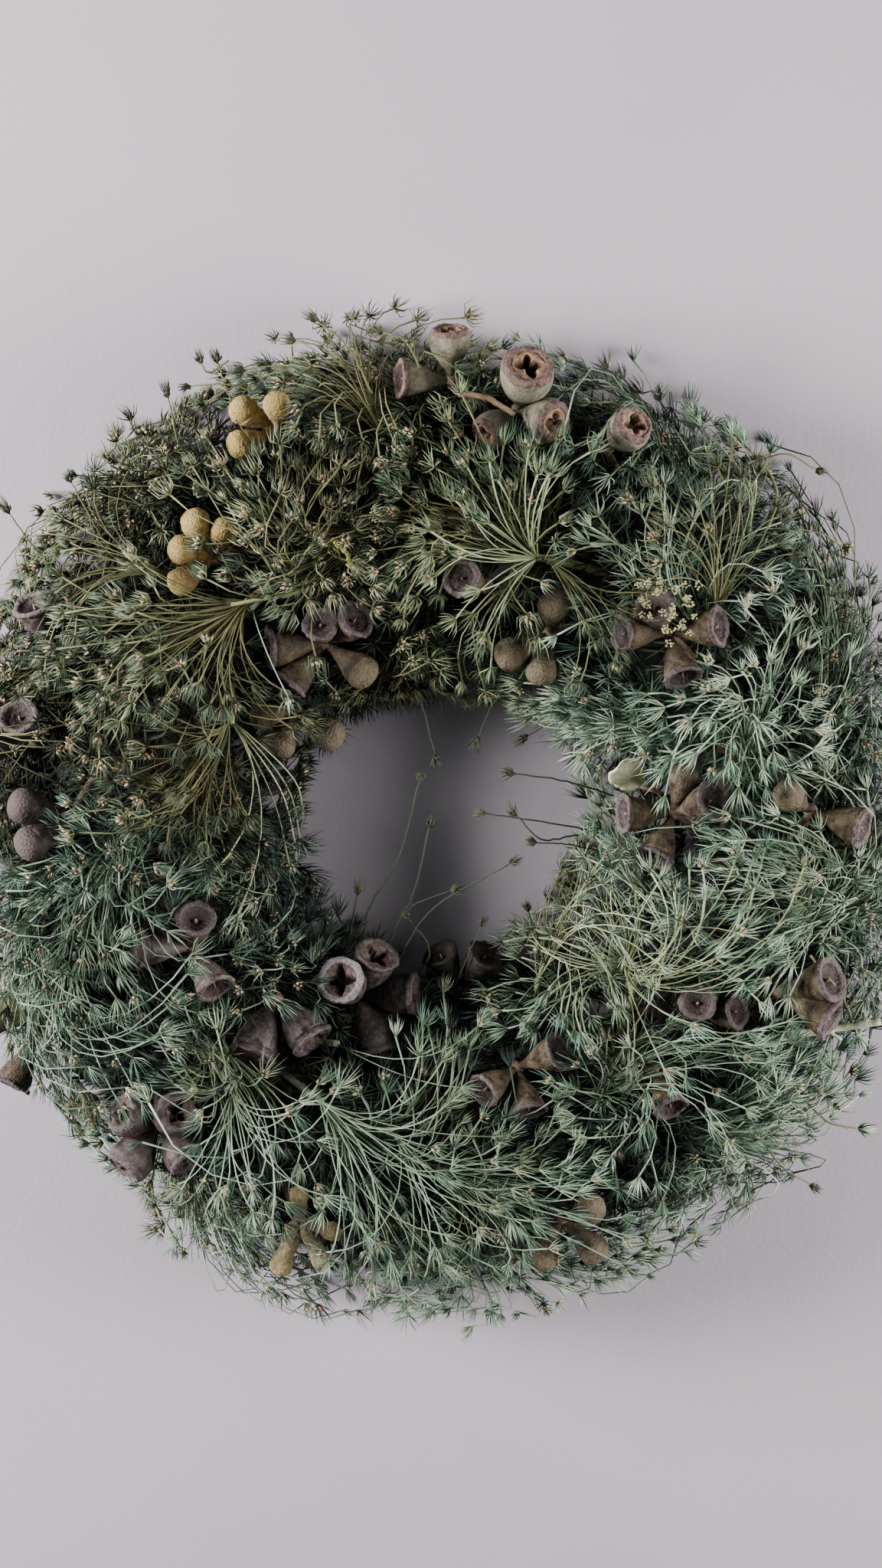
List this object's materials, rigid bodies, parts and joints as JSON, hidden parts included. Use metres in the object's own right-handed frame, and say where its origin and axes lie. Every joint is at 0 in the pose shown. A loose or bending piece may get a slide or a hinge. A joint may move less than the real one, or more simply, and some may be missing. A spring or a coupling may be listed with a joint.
{
  "type": "wreath",
  "caption": "Round dried wreath: a twisted vine ring filled with dried umbels, clusters of eucalyptus gumnuts and capped buds, two leaves and a cut twig, open in the middle.",
  "frame": {"origin": "middle of the underside of the wreath's box, on the surface that the wreath lies on", "axes": "+Z out of the wreath's face, +Y towards the top of the wreath as it is shown, +X to its right"},
  "size_m": [0.3934, 0.412, 0.0875],
  "materials": {
    "vine": "matte",
    "umbels": "matte",
    "gumnuts": "matte",
    "buds": "matte",
    "ochre_buds": "matte",
    "leaf_pale": "matte",
    "leaf_olive": "matte",
    "cut_twig": "matte"
  },
  "bodies": {
    "root": {"gumnuts_top": "gumnuts", "gumnuts_top_right": "gumnuts", "gumnut_upper_right": "gumnuts", "gumnut_by_umbel": "gumnuts", "buds_upper_right": "buds", "gumnuts_right_fan": "gumnuts", "gumnuts_inner_right": "gumnuts", "gumnuts_outer_right": "gumnuts", "gumnuts_lower_right": "gumnuts", "gumnuts_right_deep": "gumnuts", "gumnuts_lower_face": "gumnuts", "gumnut_lower_deep": "gumnuts", "buds_bottom_right": "buds", "buds_bottom_left": "buds", "gumnuts_lower_left": "gumnuts", "gumnuts_hole_left": "gumnuts", "gumnuts_left_pair": "gumnuts", "gumnuts_left_inner": "gumnuts", "gumnut_outer_left": "gumnuts", "buds_left": "buds", "gumnuts_outer_left": "gumnuts", "gumnut_upper_left": "gumnuts", "ochre_buds_top": "ochre_buds", "ochre_buds_left": "ochre_buds", "gumnuts_hole_top": "gumnuts", "buds_hole_left": "buds", "gumnuts_in_hole": "gumnuts", "leaf_pale": "leaf_pale", "leaf_olive": "leaf_olive", "cut_twig": "cut_twig", "umbel_01": "umbels", "umbel_02": "umbels", "umbel_03": "umbels", "umbel_04": "umbels", "umbel_05": "umbels", "umbel_06": "umbels", "umbel_07": "umbels", "umbel_08": "umbels", "umbel_09": "umbels", "umbel_10": "umbels", "umbel_11": "umbels", "umbel_12": "umbels", "umbel_13": "umbels", "umbel_14": "umbels", "umbel_15": "umbels", "umbel_16": "umbels", "umbel_17": "umbels", "umbel_18": "umbels", "umbel_19": "umbels", "umbel_20": "umbels", "umbel_21": "umbels", "umbel_22": "umbels", "umbel_23": "umbels", "umbel_24": "umbels", "umbel_25": "umbels", "umbel_26": "umbels", "umbel_27": "umbels", "umbel_28": "umbels", "umbel_29": "umbels", "vine_ring": "vine"}
  },
  "joints": []
}
